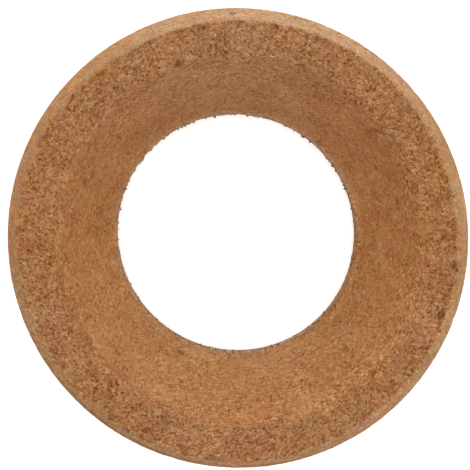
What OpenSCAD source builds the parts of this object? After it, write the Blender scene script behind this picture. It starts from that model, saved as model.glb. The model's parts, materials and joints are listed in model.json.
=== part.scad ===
// Cork ring: a one-piece ring of pressed cork granules that holds a round-bottomed flask.
// It stands on its flat base. A straight cone narrows from the flat rim down to a short
// land round the hole, and the round bottom of a flask rests in that cone.
// The origin is the middle of the base, with +Z up. Lengths are in millimetres.

/* [Ring] */
// Outside diameter of the ring
outer_d = 110; // [100:1:160]
// Height of the ring
height = 30; // [20:1:45]

/* [Hole and seat] */
// Diameter of the hole at its narrowest
bore_d = 60; // [30:1:64]
// Height of the straight land at the foot of the seat
land_h = 3; // [2:0.5:6]

/* [Rim] */
// Width of the flat rim between the seat and the bevel
rim_w = 8.5; // [4:0.5:12]
// Width of the steep bevel outside the rim, seen from above
bevel_w = 3; // [1.5:0.5:5]
// Height of the steep bevel
bevel_h = 7; // [4:0.5:10]

/* [Rounded edges] */
// Radius of the edge between the rim and the seat
seat_edge_r = 0.5; // [0.2:0.1:2]
// Radius of the edge between the rim and the bevel
rim_edge_r = 0.8; // [0.2:0.1:2]
// Radius of the edge between the bevel and the upright wall
wall_edge_r = 2.5; // [0.2:0.1:3]
// Radius of the two edges of the base
base_edge_r = 0.6; // [0.2:0.1:1]

/* [Hidden] */
$fn = 120;

outer_r = outer_d / 2;
bore_r = bore_d / 2;
rim_outer_r = outer_r - bevel_w;
rim_inner_r = rim_outer_r - rim_w;
arc_step = 12; // largest turn of one straight step round an edge, in degrees

// Corners of the ring's section as [distance from the axis, height], with the radius
// that rounds each one. They run up the outside and back down the inside.
section = [
    [[outer_r, 0], base_edge_r],
    [[outer_r, height - bevel_h], wall_edge_r],
    [[rim_outer_r, height], rim_edge_r],
    [[rim_inner_r, height], seat_edge_r],
    [[bore_r, land_h], 0],
    [[bore_r, 0], base_edge_r]
];

function unit(v) = v / norm(v);

// Points of an arc of radius r that rounds the corner and touches both of its sides.
function rounded(before, corner, after, r) =
    r == 0 ? [corner] :
    let (
        to_before = unit(before - corner),
        to_after = unit(after - corner),
        half_angle = acos(to_before * to_after) / 2,
        reach = r / tan(half_angle),
        centre = corner + unit(to_before + to_after) * r / sin(half_angle),
        start = corner + to_before * reach - centre,
        end = corner + to_after * reach - centre,
        steps = ceil((180 - 2 * half_angle) / arc_step)
    )
    [for (i = [0 : steps])
        let (turn = (180 - 2 * half_angle) * i / steps)
        centre + (start * sin(180 - 2 * half_angle - turn) + end * sin(turn))
            / sin(180 - 2 * half_angle)];

function outline(corners) =
    let (n = len(corners))
    [for (i = [0 : n - 1])
        each rounded(
            corners[(i + n - 1) % n][0], corners[i][0], corners[(i + 1) % n][0], corners[i][1])];

module cork_ring() {
    color("peru")
        rotate_extrude() polygon(outline(section));
}

cork_ring();
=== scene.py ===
"""Looks of the cork ring, which stand in for the solid wherever it is seen.

One mesh follows the solid's section round the axis, and the relief of the cork is pushed into it.
One pattern of granules, pits and worn places feeds the relief and the colour alike. The camera, the
light and the plain floor follow the photograph. Azimuths are in degrees, from +X towards +Y.
"""

import json
import math

import bpy
import numpy as np
from mathutils import Matrix, Vector

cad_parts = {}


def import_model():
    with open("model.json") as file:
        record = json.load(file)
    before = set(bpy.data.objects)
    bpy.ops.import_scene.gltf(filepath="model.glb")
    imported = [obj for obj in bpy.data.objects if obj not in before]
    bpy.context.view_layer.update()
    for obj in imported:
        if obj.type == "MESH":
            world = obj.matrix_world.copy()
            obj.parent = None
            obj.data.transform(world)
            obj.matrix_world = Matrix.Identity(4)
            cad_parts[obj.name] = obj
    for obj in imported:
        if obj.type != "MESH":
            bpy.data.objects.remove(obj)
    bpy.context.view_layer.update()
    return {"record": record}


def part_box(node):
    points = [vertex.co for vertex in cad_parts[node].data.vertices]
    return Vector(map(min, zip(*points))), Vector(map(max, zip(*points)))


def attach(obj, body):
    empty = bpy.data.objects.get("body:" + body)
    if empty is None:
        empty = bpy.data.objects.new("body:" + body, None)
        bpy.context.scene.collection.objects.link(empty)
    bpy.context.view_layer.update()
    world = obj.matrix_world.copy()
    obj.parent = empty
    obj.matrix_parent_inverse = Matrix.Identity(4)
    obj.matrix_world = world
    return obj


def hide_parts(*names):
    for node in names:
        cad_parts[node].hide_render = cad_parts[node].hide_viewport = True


MM = 0.001

# Camera, in millimetres: close above the ring, and a little towards its back.
CAMERA_AT = (-11.58, 26.01, 360.0)
CAMERA_AIM = (-1.211, 12.543, 30.0)
CAMERA_LENS = 108.58
CAMERA_SENSOR = 36.0
CAMERA_SHIFT = -0.10  # share of the frame: the photograph is cut off-centre
CAMERA_CLIP = 10.0

# Light: a sky of strength 1, brighter towards the back, with a low bank of lights behind the ring.
LIGHT_FROM = 75.0  # azimuth
SKY_SLOPE = 0.45  # how much brighter it is on that side
SKY_SIDES = 0.30  # how much brighter the front and the back are, and how much dimmer the sides
BANK_FROM = 90.0  # azimuth
BANK_STRENGTH = 3.2
BANK_TOP = 14.0  # elevation, degrees
BANK_WIDTH = 43.0  # azimuth to each side

# Floor: a pale grey that glows for the camera, so that it is white outside the shadow.
FLOOR_REACH = 3.0  # metres
FLOOR_GREY = 0.8
FLOOR_GLOW = 0.58

# Section of the ring, in millimetres. The height, the outside and the hole come from the frame.
LAND_H = 3.0
RIM_W = 8.5
BEVEL_W = 3.0
BEVEL_H = 7.0
SEAT_EDGE_R = 0.5
RIM_EDGE_R = 0.8
WALL_EDGE_R = 2.5
BASE_EDGE_R = 0.6
ARC_STEP = 18.0  # degrees

# Mesh: rows along the section, in millimetres, and columns round the ring. The rim, the upper ends
# of the bevel and the seat, and the land's upper edge have twice the columns.
COLUMNS = 480
FINE_STEP = 0.31
SEAT_STEP = 0.55
WALL_STEP = 0.95
BASE_STEP = 3.4
FINE_BELOW_RIM = 2.6
FINE_BY_LAND = 1.3

# Cork, in millimetres. The run of a place is its distance along the section from the rim's outer
# edge: above 0 over the rim and down the seat, and below 0 outside.
GRANULE = 2.6
FLAKE = 0.62
KNOT_CELL = 7.0
LAND_RUN = 38.6  # the run of the land's upper edge
TURNED = 31.0  # the seat's grain is laid out on this radius, so it is drawn out round the ring
OVAL = 0.23  # how far the ring is out of round, at 45 degrees to X and Y
KNOTS = (  # dark knots on the rim: x, y, radius
    (47.1, -17.2, 1.3), (47.8, 1.0, 0.9), (49.8, -5.8, 0.7), (-22.4, -44.3, 1.0), (43.4, 0.2, 0.7))

# Noises: size in millimetres, detail, roughness and seed. The turned ones are for the seat's layout.
NOISES = {
    "warp": (1.4, 1.0, 0.5, 0.0), "patchy": (2.2, 1.0, 0.5, 7.0), "torn": (5.0, 1.0, 0.5, 77.0),
    "lump": (0.66, 1.0, 0.5, 13.0), "turned_lump": (0.66, 1.0, 0.4, 13.0),
    "grain": (0.38, 1.0, 0.5, 5.0), "turned_grain": (0.50, 1.0, 0.4, 5.0), "fine": (0.26, 0.0, 0.5, 17.0),
    "pit": (0.50, 1.0, 0.6, 11.0), "vein": (1.1, 1.0, 0.5, 19.0), "vein_part": (1.0, 0.0, 0.5, 21.0),
    "bite": (1.8, 2.0, 0.6, 3.0), "edge": (0.8, 1.0, 0.5, 9.0), "left_edge": (1.6, 1.0, 0.5, 15.0),
    "inner_edge": (1.3, 1.0, 0.5, 47.0), "inner_wave": (4.0, 0.0, 0.5, 49.0), "crumb": (0.75, 1.0, 0.6, 53.0),
    "speck": (0.8, 1.0, 0.5, 43.0), "turned_fleck": (0.6, 1.0, 0.4, 73.0), "knot": (0.9, 1.0, 0.5, 67.0),
    "cloud": (3.4, 1.0, 0.5, 31.0), "drift": (12.0, 0.0, 0.5, 61.0),
    "pink": (2.6, 0.0, 0.5, 37.0), "warm": (4.2, 0.0, 0.5, 41.0)}

# Relief, in millimetres for each part of the pattern. That of the granules grows where cork is torn.
GRANULE_RELIEF = {"lump": 0.40, "flake": 0.08, "tone": 0.10, "pit": -0.28, "crevice": -0.15}
EDGE_RELIEF = {"bite": -0.40, "crumb": 0.55, "roll": -0.32}
GRAIN_BUMP = {"grain": 0.14, "fine": 0.05}
PROUD = {"rim": 1.0, "seat": 1.0, "outside": 0.35}

# Colours, linear
RIM_COLOUR = (0.406, 0.1835, 0.0705)
SEAT_COLOUR = (0.492, 0.2300, 0.0878)
SEAT_LOW_COLOUR = (0.528, 0.2568, 0.1002)
OUTSIDE_COLOUR = (0.479, 0.2448, 0.1108)
OUTSIDE_PALE = (0.486, 0.2656, 0.1216)

# Shade: the logarithm of the brightness, for each part of the pattern. The granules' parts have two
# weights, one for the rim and the outside and one for the seat, and grow where the cork is torn.
# The pits, crevices and cracks are darker partly as darker cork and partly as painted shade in these hollows.
GRANULE_SHADE = {
    "lump": (0.50, 0.61), "grain": (0.74, 0.651), "fine": (0.28, 0.028), "flake": (0.20, 0.20),
    "pit": (-0.32, -0.32), "crevice": (-0.12, -0.12), "crack": (-0.40, -0.40)}
SHADE = {"tone": 0.09, "drift": 0.18, "brink": -0.15, "speck": -0.32, "fleck": -0.30, "knot": -0.38,
         "worn": 0.06}
CLOUD_SHADE = {"rim": 0.16, "seat": 0.06, "outside": 0.09}
# Painted light and shade: the outside lighter or darker round the ring, as the light falls on it.
OUTSIDE_PAINTED_LIGHT = {"right": 0.022, "ends": 0.015, "thirds": 0.02}
LOW_SIDES_SHADE = 0.15
CRUMB_SHADE = (-0.32, -0.9)  # at the left and at the right
# Painted light on the land, on the start of the cone and on the seat above the land; painted shade on the
# band over the land's edge, on the seat's foot and on the outside below the bevel.
SIDE_SHADE = (  # where, azimuth, angle from it where this ends, angle where it is full, shade
    ("lip", 30.0, 72.5, 18.0, 0.05),
    ("under", 125.0, 72.5, 37.0, 0.07),
    ("under", 155.0, 37.0, 0.0, 0.06),
    ("middle", 90.0, 60.0, 0.0, -0.05),
    ("foot", 335.0, 41.5, 0.0, -0.10),
    ("above", 255.0, 45.5, 0.0, 0.06),
    ("strip", 25.0, 110.5, 75.5, 0.12),
    ("shaded_crease", 340.0, 63.0, 26.0, -0.10),
    ("land", 300.0, 56.5, 26.0, 0.18),
    ("shaded_shoulder", 252.0, 51.5, 0.0, -0.32))

# Tint: each channel's power of the brightness, and what the parts of the pattern add to it.
CHANNELS = (
    (1.0, {"warm": 0.42, "dim": -0.03, "worn": -0.10, "thirds": 0.013, "ruddy": -0.03}),
    (1.6, {"grey": 0.25, "pink": -1.0, "dim": -0.05, "worn": 0.10, "thirds": 0.012, "ruddy": -0.04,
           "knot": 0.12}),
    (2.5, {"grey": 1.0, "warm": -1.0, "dim": -0.13, "worn": 0.46, "knot": 0.5}))
GREY = {"rim": {"ends": 0.062, "back": 0.03, "right": -0.02},
        "seat": {"ends": 0.124, "back": 0.06, "right": -0.005},
        "outside": {"ends": 0.052, "back": 0.03, "right": -0.01}}
GREY_ALL_ROUND = {"thirds": 0.045, "ruddy": -0.10}
VIVID = {"rim": 1.0, "seat": 0.7, "outside": 1.6}
PINK = 0.24
WARM = 0.26

ROUGHNESS = 0.9
SPECULAR = 0.25


class Graph:
    """Adds nodes to a tree and wires them, so that a formula reads as one."""

    def __init__(self, tree):
        self.tree = tree

    def feed(self, socket, value):
        if isinstance(value, bpy.types.NodeSocket):
            self.tree.links.new(value, socket)
        else:
            socket.default_value = value

    def node(self, kind, inputs=(), **settings):
        node = self.tree.nodes.new(kind)
        for name, value in settings.items():
            setattr(node, name, value)
        for name, value in dict(inputs).items():
            self.feed(node.inputs[name], value)
        return node

    def math(self, operation, *values):
        node = self.node("ShaderNodeMath", operation=operation)
        for socket, value in zip(node.inputs, values):
            self.feed(socket, value)
        return node.outputs[0]

    def add(self, *values):
        total = values[0]
        for value in values[1:]:
            total = self.math("ADD", total, value)
        return total

    def sub(self, a, b):
        return self.math("SUBTRACT", a, b)

    def mul(self, *values):
        product = values[0]
        for value in values[1:]:
            product = self.math("MULTIPLY", product, value)
        return product

    def weigh(self, parts, weights):
        """The sum of the named parts of a pattern, each times its weight."""
        return self.add(*(self.mul(getattr(parts, name), weight) for name, weight in weights.items()))

    def vector(self, operation, *values):
        node = self.node("ShaderNodeVectorMath", operation=operation)
        for socket, value in zip(node.inputs, values):
            self.feed(socket, value)
        return node.outputs["Value" if operation in ("LENGTH", "DOT_PRODUCT") else "Vector"]

    def scale(self, vector, factor):
        node = self.node("ShaderNodeVectorMath", {"Vector": vector, "Scale": factor}, operation="SCALE")
        return node.outputs["Vector"]

    def level(self, vector):
        """The vector without its height."""
        return self.vector("MULTIPLY", vector, (1.0, 1.0, 0.0))

    def split(self, vector):
        return self.node("ShaderNodeSeparateXYZ", {"Vector": vector}).outputs

    def combine(self, x, y, z):
        return self.node("ShaderNodeCombineXYZ", {"X": x, "Y": y, "Z": z}).outputs[0]

    def smooth(self, value, low, high, at_low=0.0, at_high=1.0):
        """A smooth step of value, from low to high."""
        node = self.node("ShaderNodeMapRange", {
            "Value": value, "From Min": low, "From Max": high, "To Min": at_low, "To Max": at_high,
        }, interpolation_type="SMOOTHSTEP")
        return node.outputs["Result"]

    def blend(self, factor, a, b):
        """a where the factor is 0, and b where it is 1."""
        return self.add(a, self.mul(factor, self.sub(b, a)))

    def noise(self, name, place, fourth=None):
        """One of the noises, as the node. A fourth coordinate makes it 4D."""
        size, detail, roughness, seed = NOISES[name]
        if seed:
            place = self.vector("ADD", place, (seed, 2.0 * seed, 3.0 * seed))
        inputs = {"Vector": place, "Scale": 1.0 / size, "Detail": detail, "Roughness": roughness}
        if fourth is not None:
            inputs["W"] = fourth
        return self.node("ShaderNodeTexNoise", inputs, normalize=True,
                         noise_dimensions="3D" if fourth is None else "4D")

    def swing(self, name, place, fourth=None):
        """One of the noises about zero, mostly within -0.25 to 0.25."""
        return self.sub(self.noise(name, place, fourth).outputs[0], 0.5)

    def cells(self, place, size, feature="F1"):
        return self.node("ShaderNodeTexVoronoi", {"Vector": place, "Scale": 1.0 / size},
                         voronoi_dimensions="3D", feature=feature).outputs


def cosine(degrees):
    return math.cos(math.radians(degrees))


def sine(degrees):
    return math.sin(math.radians(degrees))


def aim(thing, at, target, up=(0.0, 1.0, 0.0)):
    """Puts thing at a place, in millimetres, facing the target, with up towards the top of its view."""
    place = Vector(at) * MM
    forward = (Vector(target) * MM - place).normalized()
    right = forward.cross(Vector(up)).normalized()
    matrix = Matrix((right, right.cross(forward), -forward)).transposed().to_4x4()
    matrix.translation = place
    thing.matrix_world = matrix


def make_camera():
    data = bpy.data.cameras.new("camera")
    data.lens = CAMERA_LENS
    data.sensor_width = CAMERA_SENSOR
    data.shift_y = CAMERA_SHIFT
    data.clip_start = CAMERA_CLIP * MM
    camera = bpy.data.objects.new("camera", data)
    bpy.context.scene.collection.objects.link(camera)
    bpy.context.scene.camera = camera
    aim(camera, CAMERA_AT, CAMERA_AIM)


def arc(before, corner, after, radius):
    """Points that round a corner, and touch both of its sides."""
    if radius == 0:
        return [corner]
    to_before = (before - corner) / np.linalg.norm(before - corner)
    to_after = (after - corner) / np.linalg.norm(after - corner)
    half = math.acos(float(to_before @ to_after)) / 2
    middle = (to_before + to_after) / np.linalg.norm(to_before + to_after)
    centre = corner + middle * radius / math.sin(half)
    start = corner + to_before * radius / math.tan(half) - centre
    end = corner + to_after * radius / math.tan(half) - centre
    turn = math.pi - 2 * half
    steps = math.ceil(math.degrees(turn) / ARC_STEP)
    return [centre + (start * math.sin(turn * (1 - share)) + end * math.sin(turn * share)) / math.sin(turn)
            for share in np.linspace(0, 1, steps + 1)]


def ring_section(outer_r, bore_r, height):
    """The section's points as (distance from the axis, height), and the run of each."""
    rim_outer = outer_r - BEVEL_W
    rim_inner = rim_outer - RIM_W
    foot, wall, rim, seat, land, hole = range(6)
    corners = {foot: (outer_r, 0), wall: (outer_r, height - BEVEL_H), rim: (rim_outer, height),
               seat: (rim_inner, height), land: (bore_r, LAND_H), hole: (bore_r, 0)}
    radii = (BASE_EDGE_R, WALL_EDGE_R, RIM_EDGE_R, SEAT_EDGE_R, 0, BASE_EDGE_R)
    places = [np.array(corners[i], float) for i in range(6)]
    bends = [arc(places[i - 1], places[i], places[(i + 1) % 6], radii[i]) for i in range(6)]

    def below(side, distance):
        """The point of a side that is this far down it."""
        low, high = sorted((places[side], places[(side + 1) % 6]), key=lambda place: place[1])
        return high + (low - high) * distance / np.linalg.norm(low - high)

    below_bevel, below_seat = below(wall, FINE_BELOW_RIM), below(seat, FINE_BELOW_RIM)
    stretches = [(bends[foot], WALL_STEP), (bends[wall], SEAT_STEP), ([below_bevel], FINE_STEP),
                 (bends[rim], FINE_STEP), (bends[seat], FINE_STEP), ([below_seat], SEAT_STEP),
                 (bends[land], SEAT_STEP), (bends[hole], BASE_STEP)]
    points = []
    for i, (bend, step) in enumerate(stretches):
        following = stretches[(i + 1) % len(stretches)][0][0]
        count = max(1, round(float(np.linalg.norm(following - bend[-1])) / step))
        points += bend
        points += [bend[-1] + (following - bend[-1]) * k / count for k in range(1, count)]
    points = np.array(points)
    run = np.concatenate([[0.0], np.cumsum(np.linalg.norm(np.diff(points, axis=0), axis=1))])
    return points, run - run[np.argmin(np.linalg.norm(points - places[rim], axis=1))]


def revolve(section, columns):
    """Vertices and faces of the section turned about Z. Each row has its own number of columns, which
    is the same as its neighbour's, half of it or twice it."""
    first = np.concatenate([[0], np.cumsum(columns)])
    turns = [np.arange(n) * 2 * math.pi / n for n in columns]
    verts = [np.stack([r * np.cos(turn), r * np.sin(turn), np.full(len(turn), z)], axis=-1)
             for (r, z), turn in zip(section, turns)]
    faces = []
    for i, n in enumerate(columns):
        j = (i + 1) % len(columns)
        m = columns[j]
        if n == m:
            faces += [(first[i] + k, first[i] + (k + 1) % n, first[j] + (k + 1) % n, first[j] + k)
                      for k in range(n)]
            continue
        few, many = (i, j) if n < m else (j, i)
        for k in range(min(n, m)):
            a, b = first[few] + k, first[few] + (k + 1) % columns[few]
            p, q, s = (first[many] + (2 * k + step) % columns[many] for step in range(3))
            fan = [(a, b, q), (a, q, p), (b, s, q)]
            faces += fan if few == i else [face[::-1] for face in fan]
    return np.concatenate(verts), [tuple(map(int, face)) for face in faces]


def make_ring(frame):
    """The ring without its relief. Each vertex keeps its place and its run for the pattern."""
    low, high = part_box("cork_ring")
    bore = next(mount for mount in frame["record"]["mounts"] if mount["name"] == "hole")
    section, run = ring_section((high.x - low.x) / 2 / MM, bore["dims"]["r_mm"], (high.z - low.z) / MM)
    by_rim = (run > -FINE_BELOW_RIM) & (run < RIM_W + FINE_BELOW_RIM)
    by_land = (run > RIM_W) & (abs(section[:, 1] - LAND_H) < FINE_BY_LAND)
    columns = np.where(by_rim | by_land, 2 * COLUMNS, COLUMNS)
    verts, faces = revolve(section, columns)
    mesh = bpy.data.meshes.new("cork_ring_looks")
    mesh.from_pydata((verts * MM).tolist(), [], faces)
    mesh.shade_smooth()
    mesh.attributes.new("run", "FLOAT", "POINT").data.foreach_set(
        "value", np.repeat(run, columns).astype(np.float32))
    mesh.attributes.new("rest", "FLOAT_VECTOR", "POINT").data.foreach_set(
        "vector", verts.astype(np.float32).ravel())
    ring = bpy.data.objects.new("cork_ring_looks", mesh)
    bpy.context.scene.collection.objects.link(ring)
    return ring


class Cork:
    """The pattern of the cork's surface, from a place on the ring in millimetres and its run.

    Each part is a node socket, and most go from 0 to 1. The relief and the colour each build the
    pattern in a tree of their own, so they agree."""

    def __init__(self, g, place, run):
        self.g = g
        self.place = place
        self.run = run
        self.height = g.split(place)["Z"]
        way = g.split(g.vector("NORMALIZE", g.level(place)))
        self.right = way["X"]
        self.back = way["Y"]
        self.find_granules()
        self.find_edges()
        self.find_finishes()
        self.find_grain()
        self.find_land()

    def facing(self, azimuth, ends, full, at_ends=0.0, at_full=1.0):
        """A smooth step in the angle between this side of the ring and an azimuth. It is at_ends
        from the angle ends on, and at_full within the angle full."""
        g = self.g
        towards = g.add(g.mul(self.right, cosine(azimuth)), g.mul(self.back, sine(azimuth)))
        return g.smooth(towards, cosine(ends), cosine(full), at_ends, at_full)

    def between(self, value, low, low_full, high_full, high):
        """1 from low_full to high_full, falling to 0 at low and at high."""
        return self.g.mul(self.g.smooth(value, low, low_full), self.g.smooth(value, high, high_full))

    def find_granules(self):
        """Granules, each with random numbers and a grain of its own, the borders and pits between
        them, and drawn: the place squeezed along the grain, so what is scattered there is drawn out."""
        g, place = self.g, self.place
        warp = g.vector("SUBTRACT", g.noise("warp", place).outputs["Color"], (0.5, 0.5, 0.5))
        moved = g.vector("MULTIPLY_ADD", warp, (2.4, 2.4, 2.4), place)
        random = g.cells(moved, GRANULE)["Color"]
        tone, depth, drawing = g.split(random)
        self.tone = g.sub(tone, 0.5)
        grain = g.vector("NORMALIZE", g.vector("SUBTRACT", random, (0.5, 0.5, 0.5)))
        along = g.vector("DOT_PRODUCT", place, grain)
        squeeze = g.smooth(drawing, 0.45, 0.65, 0.12, 0.66)
        self.drawn = g.vector("SUBTRACT", place, g.scale(grain, g.mul(along, squeeze)))
        self.flake = g.sub(g.split(g.cells(self.drawn, FLAKE)["Color"])["X"], 0.5)
        border = g.mul(g.cells(moved, GRANULE, "DISTANCE_TO_EDGE")["Distance"], GRANULE)
        self.patchy = g.smooth(g.swing("patchy", place), -0.05, 0.12)
        self.crevice = g.mul(g.smooth(border, 0.28, 0.0), self.patchy)
        deepened = g.add(g.swing("pit", self.drawn), g.mul(g.sub(depth, 0.5), 0.11))
        self.pit = g.smooth(deepened, 0.10, 0.20)
        vein = g.math("ABSOLUTE", g.swing("vein", place))
        self.crack = g.mul(g.smooth(vein, 0.035, 0.0),
                           g.smooth(g.swing("vein_part", place), 0.0, 0.08))

    def find_edges(self):
        """The rim's ragged outer edge, with notches bitten out of it, and its inner edge, which is
        rolled over at the right and worn down into the seat at the front left."""
        g, place, run = self.g, self.place, self.run
        left = self.facing(205.0, 96.0, 41.0)
        sharp = self.facing(120.0, 45.5, 18.0)
        bite = g.mul(g.smooth(g.swing("bite", place), 0.02, 0.16),
                     g.sub(1.0, g.mul(sharp, 0.8)), self.facing(255.0, 101.5, 60.0, 1.0, 0.4))
        self.edge = g.add(run, g.mul(bite, 0.8), -1.13, g.mul(sharp, -0.1), g.mul(left, 0.9),
                          self.facing(75.0, 53.0, 18.0, 0.0, 0.6), self.facing(300.0, 66.5, 37.0, 0.0, 0.33),
                          g.mul(g.swing("edge", place), g.sub(1.2, g.mul(sharp, 0.7))),
                          g.mul(left, g.swing("left_edge", place), 6.0))
        self.top = g.smooth(self.height, 15.0, 20.0)
        self.bite = g.mul(bite, self.between(run, -1.6, 0.0, 0.0, 1.4), self.top)
        # A darker line just inside the rim's outer edge: partly darker cork, partly painted shade in the
        # crevice along its torn edge.
        self.brink = g.mul(self.between(self.edge, -0.3, 0.2, 0.5, 1.3), self.top, self.patchy)
        worn_down = self.facing(230.0, 63.0, 0.0)
        rolled = self.facing(0.0, 96.0, 60.0)
        ragged = g.add(run, g.mul(g.swing("inner_edge", place), 2.4),
                       g.mul(g.swing("inner_wave", place), 2.4),
                       g.mul(self.right, 0.10), g.mul(self.back, 0.17), g.mul(worn_down, -2.2))
        self.inside = g.smooth(ragged, g.add(g.mul(rolled, -0.9), RIM_W - 0.5),
                               g.add(g.mul(worn_down, 0.8), g.mul(rolled, 0.3), RIM_W + 0.7))
        self.roll = g.mul(self.between(run, RIM_W - 1.9, RIM_W, RIM_W, RIM_W + 1.9), rolled)

    def find_finishes(self):
        """How far the surface is cut rim, turned seat or sanded outside, and how torn it is."""
        g, run, height = self.g, self.run, self.height
        self.rim = g.mul(g.smooth(self.edge, -0.3, 0.3), g.sub(1.0, self.inside), self.top)
        self.seat = g.mul(self.inside, g.smooth(height, LAND_H - 1.0, LAND_H))
        self.outside = g.sub(1.0, g.add(self.rim, self.seat))
        front = self.facing(270.0, 101.5, 53.0)
        seat_torn = g.mul(g.smooth(run, RIM_W + 12.0, RIM_W - 2.0, 0.94, 1.33),
                          g.smooth(g.swing("torn", self.place), -0.12, 0.12, 0.76, 1.22),
                          g.add(1.0, g.mul(front, 0.16)))
        outside_torn = g.mul(g.add(1.0, g.mul(front, 0.4)), g.smooth(run, -1.5, 0.0, 1.0, 0.7))
        self.torn = g.add(g.mul(self.rim, 1.25), g.mul(self.seat, seat_torn),
                          g.mul(self.outside, outside_torn))

    def find_grain(self):
        """Lumps, which the turning has drawn out round the ring on the seat."""
        g = self.g
        radius = g.vector("LENGTH", g.level(self.place))
        self.turned = g.combine(g.mul(self.right, TURNED), g.mul(self.back, TURNED), radius)
        self.turning = g.mul(self.seat, 0.8)
        self.lump = g.blend(self.turning, g.swing("lump", self.drawn),
                            g.swing("turned_lump", self.turned, self.height))

    def find_land(self):
        """Crumbs and worn cork along the edge of the hole."""
        g, height = self.g, self.height
        self.by_land = g.mul(g.smooth(self.run, RIM_W, RIM_W + 2.0), g.smooth(height, LAND_H - 2.0, LAND_H))
        self.crumb = g.mul(g.smooth(g.swing("crumb", self.place), 0.04, 0.16), self.by_land,
                           g.smooth(height, LAND_H + 0.8, LAND_H + 0.1))
        self.worn = g.mul(self.by_land, g.smooth(height, LAND_H + 1.6, LAND_H + 0.2))

    def relief(self):
        """How far the surface stands out, in millimetres."""
        g = self.g
        return g.add(g.mul(g.weigh(self, GRANULE_RELIEF), self.torn, g.weigh(self, PROUD)),
                     g.weigh(self, EDGE_RELIEF))


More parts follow.
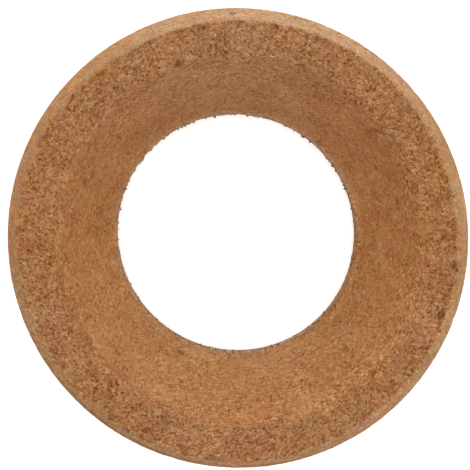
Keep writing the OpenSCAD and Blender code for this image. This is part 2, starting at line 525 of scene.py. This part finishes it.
class CorkColour(Cork):
    """The pattern, with what only the colour needs."""

    def __init__(self, g, place, run):
        super().__init__(g, place, run)
        self.find_fine_grain()
        self.find_specks()
        self.find_places()
        self.find_tints()

    def find_fine_grain(self):
        g, place = self.g, self.place
        self.grain = g.blend(self.turning, g.swing("grain", self.drawn),
                             g.swing("turned_grain", self.turned, self.height))
        self.fine = g.swing("fine", place)
        self.cloud = g.swing("cloud", place)
        self.drift = g.swing("drift", place)

    def find_specks(self):
        """Dark specks anywhere, flecks on the seat, and knots: some scattered, some listed."""
        g, place = self.g, self.place
        self.speck = g.smooth(g.swing("speck", place), 0.18, 0.25)
        fleck = g.swing("turned_fleck", self.turned, self.height)
        self.fleck = g.mul(self.seat, g.smooth(fleck, 0.12, 0.19))
        cells = g.cells(place, KNOT_CELL)
        knots = [g.mul(g.smooth(g.mul(cells["Distance"], KNOT_CELL), 1.3, 0.7),
                       g.smooth(g.split(cells["Color"])["X"], 0.75, 0.77))]
        wobble = g.mul(g.swing("knot", place), 2.0)
        for x, y, radius in KNOTS:
            away = g.vector("LENGTH", g.level(g.vector("SUBTRACT", place, (x, y, 0.0))))
            knots.append(g.mul(g.smooth(g.add(away, wobble), radius, 0.5 * radius), self.rim, 1.15))
        self.knot = g.add(*knots)

    def find_places(self):
        """Places that are a little lighter or darker at some azimuths. Painted light falls on the land, the
        start of the cone and the seat above the land, and painted shade on the band over the land's edge, the
        seat's foot and the outside below the bevel.
        """
        g, run, height = self.g, self.run, self.height
        self.lip = g.mul(self.rim, g.smooth(run, RIM_W - 4.0, RIM_W - 0.5))
        self.under = g.mul(self.seat, g.smooth(run, RIM_W + 6.0, RIM_W))
        self.middle = g.mul(self.seat, g.smooth(run, RIM_W + 16.0, RIM_W + 24.0))
        # Painted shade on the seat's foot by the hole, strongest towards azimuth 335.
        self.foot = g.mul(self.seat, g.smooth(run, RIM_W + 22.0, RIM_W + 27.0))
        # Painted light on the seat a little above the land, strongest towards azimuth 255.
        self.above = g.mul(g.smooth(run, RIM_W + 20.0, RIM_W + 22.0),
                           self.between(height, LAND_H + 0.8, LAND_H + 2.2, LAND_H + 3.4, LAND_H + 6.0))
        self.low = g.mul(self.by_land, g.smooth(height, LAND_H + 5.5, LAND_H + 0.6))
        above_land = g.sub(LAND_RUN, run)
        lifted = g.sub(above_land, g.add(self.facing(330.0, 60.0, 18.0, 0.0, 1.2),
                                         self.facing(300.0, 41.5, 18.0, 0.0, 1.2)))
        # Painted light on the start of the cone above the land, strongest towards azimuth 25.
        self.strip = self.between(lifted, -0.2, 0.5, 1.4, 2.8)
        # Painted shade on a band just over the land's edge, strongest towards azimuth 340.
        self.shaded_crease = self.between(above_land, -0.3, 0.2, 1.0, 1.8)
        # Painted light on the land, strongest towards azimuth 300.
        self.land = g.mul(g.smooth(above_land, 0.8, 0.1), g.smooth(height, 0.3, 1.0))
        # Painted shade on the outside, from the lower part of the bevel down the wall, strongest towards
        # azimuth 252.
        self.shaded_shoulder = g.mul(self.outside, g.smooth(height, 28.0, 23.5),
                              g.smooth(height, 6.0, 22.0, 0.4, 1.0))

    def find_tints(self):
        """Waves round the ring, and what turns the colour warm, pink, ruddy, grey or dim."""
        g, place, run = self.g, self.place, self.run
        self.sides = g.mul(self.right, self.right)  # 1 at the left and the right
        self.ends = g.sub(g.mul(self.back, self.back), self.sides)  # 1 at the back and the front
        self.thirds = g.mul(self.back, g.sub(g.mul(self.back, self.back, 4.0), 3.0))  # 1 at 90, 210, 330
        vivid = g.weigh(self, VIVID)
        self.pink = g.mul(vivid, g.swing("pink", place), PINK)
        self.warm = g.mul(vivid, g.swing("warm", place), WARM)
        self.ruddy = g.mul(self.seat, self.facing(30.0, 53.0, 0.0),
                           self.between(run, RIM_W + 3.0, RIM_W + 9.0, RIM_W + 18.0, RIM_W + 25.0))
        self.dim = g.mul(self.outside, self.facing(180.0, 78.5, 26.0))
        self.grey = g.add(*(g.mul(getattr(self, finish), g.weigh(self, weights))
                            for finish, weights in GREY.items()), g.weigh(self, GREY_ALL_ROUND))

    def shade(self):
        """The logarithm of the brightness, against the colour of the finish."""
        g = self.g
        granules = g.add(*(g.mul(getattr(self, name), g.blend(self.seat, plain, on_seat))
                           for name, (plain, on_seat) in GRANULE_SHADE.items()))
        sides = g.add(*(g.mul(getattr(self, name), self.facing(azimuth, ends, full, 0.0, amount))
                        for name, azimuth, ends, full, amount in SIDE_SHADE))
        return g.add(g.mul(granules, self.torn), g.weigh(self, SHADE), sides,
                     g.mul(self.cloud, g.weigh(self, CLOUD_SHADE)),
                     g.mul(self.outside, g.weigh(self, OUTSIDE_PAINTED_LIGHT)),
                     g.mul(self.low, self.sides, LOW_SIDES_SHADE),
                     g.mul(self.crumb, self.facing(0.0, 101.5, 66.5, *CRUMB_SHADE)))

    def base(self):
        """The colours of the finishes, each where it is."""
        g = self.g
        low = g.smooth(self.run, RIM_W + 3.0, RIM_W + 23.0)
        pale = self.facing(53.0, 116.5, 0.0)
        finishes = ((RIM_COLOUR, self.rim),
                    (SEAT_COLOUR, g.mul(self.seat, g.sub(1.0, low))),
                    (SEAT_LOW_COLOUR, g.mul(self.seat, low)),
                    (OUTSIDE_COLOUR, g.mul(self.outside, g.sub(1.0, pale))),
                    (OUTSIDE_PALE, g.mul(self.outside, pale)))
        base = (0.0, 0.0, 0.0)
        for colour, share in finishes:
            base = g.vector("ADD", base, g.scale(colour, share))
        return base

    def colour(self):
        """The base, darker and redder where the shade is low."""
        g = self.g
        value = g.math("EXPONENT", self.shade())
        channels = [g.mul(g.math("POWER", value, power), g.add(1.0, g.weigh(self, tints)))
                    for power, tints in CHANNELS]
        return g.vector("MULTIPLY", self.base(), g.combine(*channels))


def carve(ring):
    """Moves the ring's vertices along their normals by the relief, and leaves a plain mesh."""
    tree = bpy.data.node_groups.new("cork_relief", "GeometryNodeTree")
    for way in ("INPUT", "OUTPUT"):
        tree.interface.new_socket("Geometry", in_out=way, socket_type="NodeSocketGeometry")
    g = Graph(tree)
    place = g.node("GeometryNodeInputNamedAttribute", {"Name": "rest"}, data_type="FLOAT_VECTOR").outputs[0]
    run = g.node("GeometryNodeInputNamedAttribute", {"Name": "run"}, data_type="FLOAT").outputs[0]
    cork = Cork(g, place, run)
    off_floor = g.smooth(cork.height, 0.3, 1.5)
    normal = g.node("GeometryNodeInputNormal").outputs[0]
    outwards = g.combine(cork.right, cork.back, 0.0)
    oval = g.mul(cork.right, cork.back, -2.0 * OVAL * MM)
    offset = g.vector("ADD", g.scale(normal, g.mul(cork.relief(), off_floor, MM)), g.scale(outwards, oval))
    shape = g.node("NodeGroupInput").outputs[0]
    moved = g.node("GeometryNodeSetPosition", {"Geometry": shape, "Offset": offset}).outputs[0]
    g.feed(g.node("NodeGroupOutput").inputs[0], moved)
    modifier = ring.modifiers.new("relief", "NODES")
    modifier.node_group = tree
    carved = ring.evaluated_get(bpy.context.evaluated_depsgraph_get())
    plain = bpy.data.meshes.new_from_object(carved)
    ring.modifiers.clear()
    plain.name = ring.data.name
    ring.data = plain


def new_material(name):
    """A material with an empty tree, and the graph that fills it."""
    material = bpy.data.materials.new(name)
    material.use_nodes = True
    material.node_tree.nodes.clear()
    return material, Graph(material.node_tree)


def make_cork():
    material, g = new_material("cork")
    place = g.node("ShaderNodeAttribute", attribute_name="rest").outputs["Vector"]
    run = g.node("ShaderNodeAttribute", attribute_name="run").outputs["Fac"]
    cork = CorkColour(g, place, run)
    rough = g.mul(g.weigh(cork, GRAIN_BUMP), cork.torn)
    bump = g.node("ShaderNodeBump", {"Strength": 1.0, "Distance": MM, "Height": rough})
    shader = g.node("ShaderNodeBsdfPrincipled", {
        "Base Color": cork.colour(), "Roughness": ROUGHNESS, "Specular IOR Level": SPECULAR,
        "Normal": bump.outputs["Normal"]})
    g.node("ShaderNodeOutputMaterial", {"Surface": shader.outputs[0]})
    return material


def seen_as_white(g):
    """1 for the rays that show a background, and 0 for those that light things."""
    path = g.node("ShaderNodeLightPath").outputs
    return g.add(path["Is Camera Ray"], path["Is Glossy Ray"], path["Is Transmission Ray"])


def make_floor():
    mesh = bpy.data.meshes.new("floor")
    reach = FLOOR_REACH
    mesh.from_pydata([(-reach, -reach, 0), (reach, -reach, 0), (reach, reach, 0), (-reach, reach, 0)],
                     [], [(0, 1, 2, 3)])
    floor = bpy.data.objects.new("floor", mesh)
    bpy.context.scene.collection.objects.link(floor)
    material, g = new_material("floor")
    diffuse = g.node("ShaderNodeBsdfDiffuse", {"Color": (FLOOR_GREY, FLOOR_GREY, FLOOR_GREY, 1)})
    glow = g.node("ShaderNodeEmission", {"Strength": g.mul(seen_as_white(g), FLOOR_GLOW)})
    both = g.node("ShaderNodeAddShader")
    g.feed(both.inputs[0], diffuse.outputs[0])
    g.feed(both.inputs[1], glow.outputs[0])
    g.node("ShaderNodeOutputMaterial", {"Surface": both.outputs[0]})
    mesh.materials.append(material)


def make_world():
    world = bpy.data.worlds.new("studio")
    bpy.context.scene.world = world
    world.use_nodes = True
    world.node_tree.nodes.clear()
    g = Graph(world.node_tree)
    direction = g.node("ShaderNodeTexCoord").outputs["Generated"]

    def towards(azimuth):
        return g.vector("DOT_PRODUCT", direction, (cosine(azimuth), sine(azimuth), 0.0))

    ends = g.sub(g.math("POWER", towards(90.0), 2.0), g.math("POWER", towards(0.0), 2.0))
    bank = g.mul(g.smooth(towards(BANK_FROM), cosine(BANK_WIDTH), 1.0),
                 g.smooth(g.split(direction)["Z"], sine(BANK_TOP), 0.0))
    light = g.add(1.0, g.mul(towards(LIGHT_FROM), SKY_SLOPE), g.mul(ends, SKY_SIDES),
                  g.mul(bank, BANK_STRENGTH))
    strength = g.blend(seen_as_white(g), light, 1.0)
    background = g.node("ShaderNodeBackground", {"Color": (1, 1, 1, 1), "Strength": strength})
    g.node("ShaderNodeOutputWorld", {"Surface": background.outputs[0]})


def main():
    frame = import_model()
    bpy.context.scene.view_settings.view_transform = "Standard"
    make_camera()
    make_world()
    make_floor()
    ring = make_ring(frame)
    carve(ring)
    ring.data.materials.append(make_cork())
    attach(ring, "root")
    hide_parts("cork_ring")


main()
